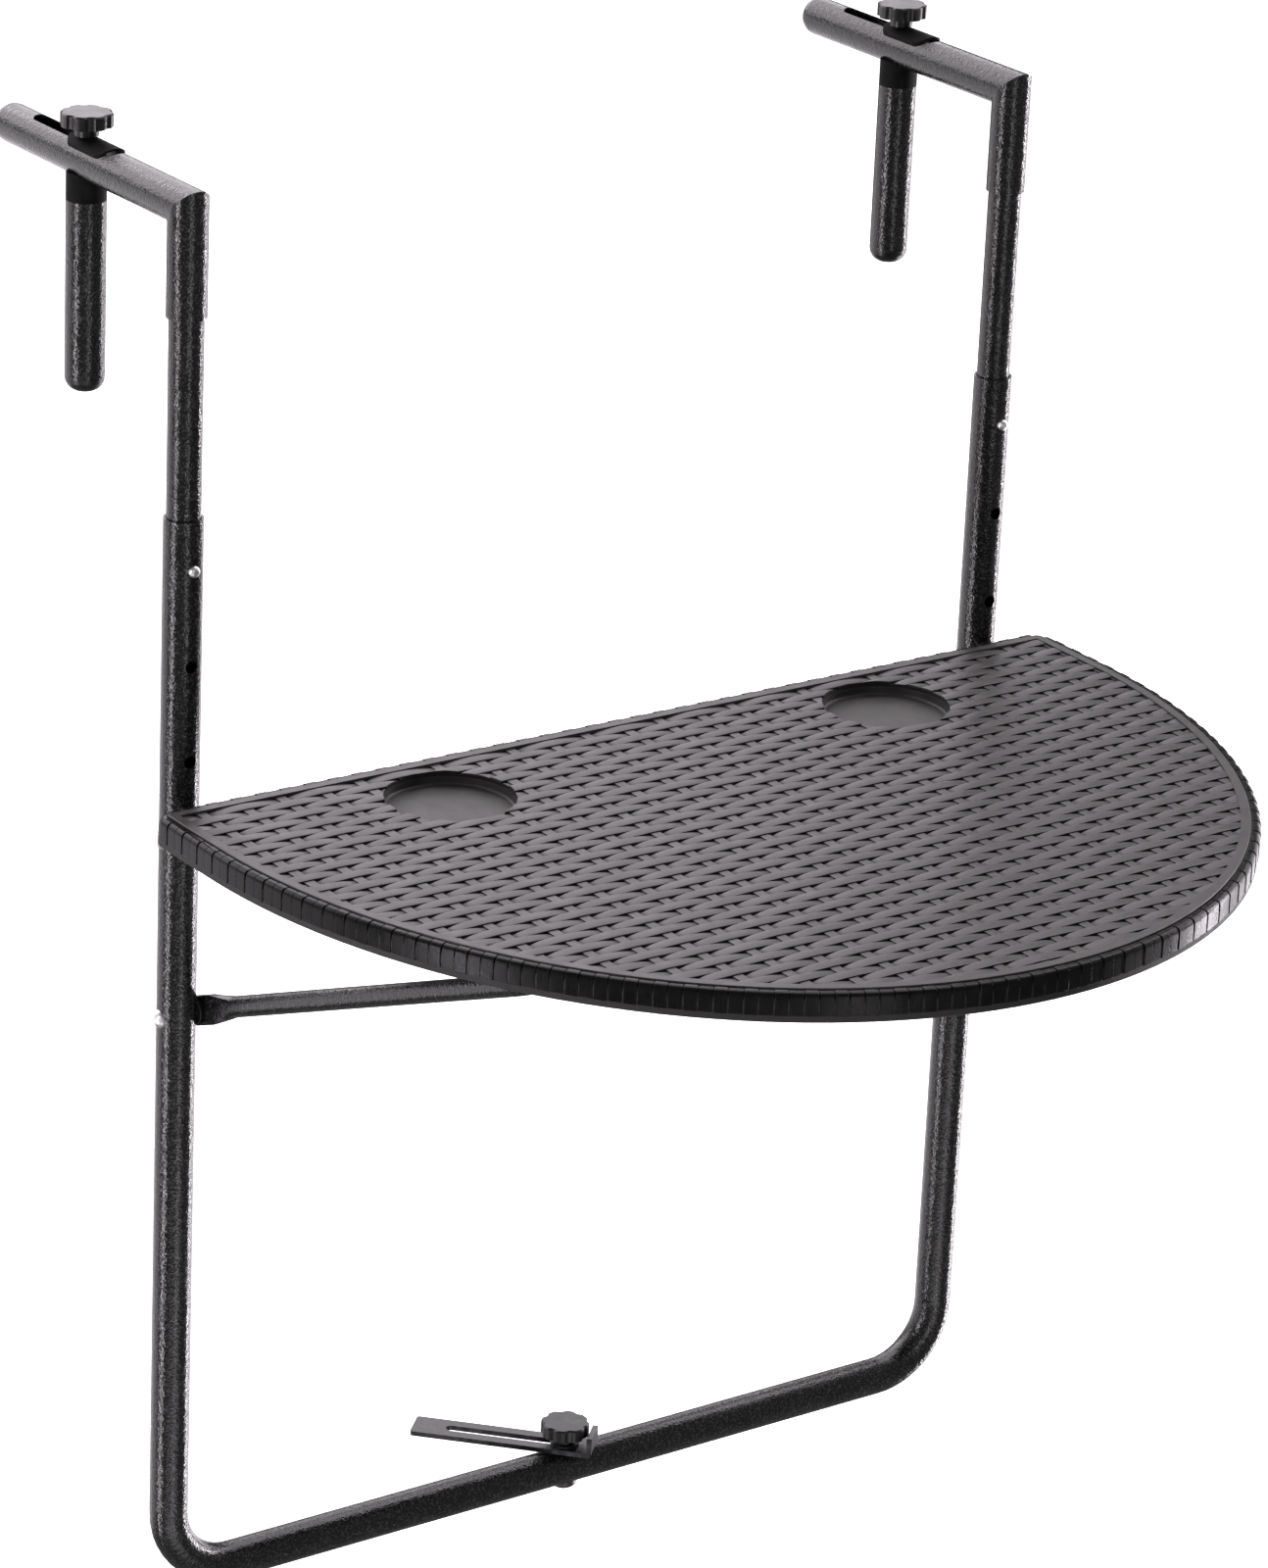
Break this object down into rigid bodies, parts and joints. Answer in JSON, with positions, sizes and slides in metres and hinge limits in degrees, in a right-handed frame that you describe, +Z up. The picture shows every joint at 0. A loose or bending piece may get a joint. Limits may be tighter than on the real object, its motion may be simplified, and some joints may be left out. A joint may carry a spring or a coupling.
{
  "type": "balcony railing bar table",
  "caption": "Half-round folding table that hangs on a balcony railing by height-adjustable hooks with sliding clamps, with drink wells, a folding brace and a spacer at its foot.",
  "frame": {"origin": "midway between the hooks, on the line where their bars rest on the handrail, halfway between the uprights and the clamp tubes", "axes": "+Z up, +Y over the handrail away from the table, +X along the handrail to the right of someone who sits at the table"},
  "size_m": [0.6, 0.617, 0.8411],
  "materials": {
    "powder_coat": "glossy black powder coat with a fine grey speckle",
    "woven_plastic": "satin taupe grey plastic moulded with a plain weave",
    "black_plastic": "satin black plastic",
    "polished_steel": "bright steel",
    "dark_steel": "dark grey coated steel with bare slot edges",
    "zinc": "zinc-plated steel",
    "brass": "plain turned brass"
  },
  "bodies": {
    "frame": {"frame_tube": "powder_coat", "left_table_rivet": "polished_steel", "right_table_rivet": "polished_steel", "left_brace_rivet": "polished_steel", "right_brace_rivet": "polished_steel", "left_table_washer": "black_plastic", "right_table_washer": "black_plastic", "left_brace_washer": "black_plastic", "right_brace_washer": "black_plastic", "spacer_bolt": "zinc"},
    "left_hook": {"left_hook_arm": "powder_coat", "left_inner_tube": "powder_coat", "left_button_spring": "zinc"},
    "left_button": {"left_snap_button": "polished_steel"},
    "left_clamp": {"left_clamp_saddle": "black_plastic", "left_drop_tube": "powder_coat", "left_drop_tube_cap": "black_plastic", "left_clamp_bolt": "zinc", "left_slide_plate": "black_plastic"},
    "left_knob": {"left_clamp_knob": "black_plastic", "left_clamp_knob_insert": "brass"},
    "right_hook": {"right_hook_arm": "powder_coat", "right_inner_tube": "powder_coat", "right_button_spring": "zinc"},
    "right_button": {"right_snap_button": "polished_steel"},
    "right_clamp": {"right_clamp_saddle": "black_plastic", "right_drop_tube": "powder_coat", "right_drop_tube_cap": "black_plastic", "right_clamp_bolt": "zinc", "right_slide_plate": "black_plastic"},
    "right_knob": {"right_clamp_knob": "black_plastic", "right_clamp_knob_insert": "brass"},
    "table": {"table_top": "woven_plastic", "left_table_bracket": "powder_coat", "right_table_bracket": "powder_coat", "bracket_screws": "zinc", "left_brace_catch": "black_plastic", "right_brace_catch": "black_plastic", "catch_screws": "zinc"},
    "brace": {"brace_rod": "powder_coat"},
    "spacer_swivel": {"spacer_washer": "zinc"},
    "spacer_slider": {"spacer_bar": "dark_steel"},
    "spacer_grip": {"spacer_knob": "black_plastic", "spacer_knob_insert": "brass"}
  },
  "joints": [
    {"name": "table_fold", "type": "hinge", "parent": "frame", "child": "table", "pos_m": [0, -0.0525, -0.3395], "axis": [1, 0, 0], "range_deg": [0, 85]},
    {"name": "brace_fold", "type": "hinge", "parent": "frame", "child": "brace", "pos_m": [0, -0.0525, -0.4442], "axis": [1, 0, 0], "range_deg": [0, 107.3]},
    {"name": "spacer_turn", "type": "hinge", "parent": "frame", "child": "spacer_swivel", "pos_m": [0, -0.0525, -0.77], "axis": [0, 0, 1], "continuous": true},
    {"name": "spacer_bar_slide", "type": "slide", "parent": "spacer_swivel", "child": "spacer_slider", "axis": [0.6947, -0.7193, 0], "range_m": [0, 0.062]},
    {"name": "spacer_knob_turn", "type": "hinge", "parent": "frame", "child": "spacer_grip", "pos_m": [0, -0.0525, -0.77], "axis": [0, 0, 1], "continuous": true},
    {"name": "left_height", "type": "slide", "parent": "frame", "child": "left_hook", "axis": [0, 0, 1], "range_m": [-0.108, 0], "deforming": ["left_snap_button"]},
    {"name": "left_button_press", "type": "slide", "parent": "left_hook", "child": "left_button", "axis": [0, 1, 0], "range_m": [0, 0.0044], "stiffness_N_per_m": 600, "springref_m": -0.006, "deforming": ["left_button_spring"]},
    {"name": "left_clamp_slide", "type": "slide", "parent": "left_hook", "child": "left_clamp", "axis": [0, 1, 0], "range_m": [-0.03, 0.047]},
    {"name": "left_knob_turn", "type": "hinge", "parent": "left_clamp", "child": "left_knob", "pos_m": [-0.27, 0.0525, 0.03], "axis": [0, 0, 1], "continuous": true},
    {"name": "right_height", "type": "slide", "parent": "frame", "child": "right_hook", "axis": [0, 0, 1], "range_m": [-0.108, 0], "deforming": ["right_snap_button"]},
    {"name": "right_button_press", "type": "slide", "parent": "right_hook", "child": "right_button", "axis": [0, 1, 0], "range_m": [0, 0.0044], "stiffness_N_per_m": 600, "springref_m": -0.006, "deforming": ["right_button_spring"]},
    {"name": "right_clamp_slide", "type": "slide", "parent": "right_hook", "child": "right_clamp", "axis": [0, 1, 0], "range_m": [-0.03, 0.047]},
    {"name": "right_knob_turn", "type": "hinge", "parent": "right_clamp", "child": "right_knob", "pos_m": [0.27, 0.0525, 0.03], "axis": [0, 0, 1], "continuous": true}
  ],
  "couplings": [
    {"joint": "brace_fold", "follows": "table_fold", "ratio": 1.262}
  ]
}
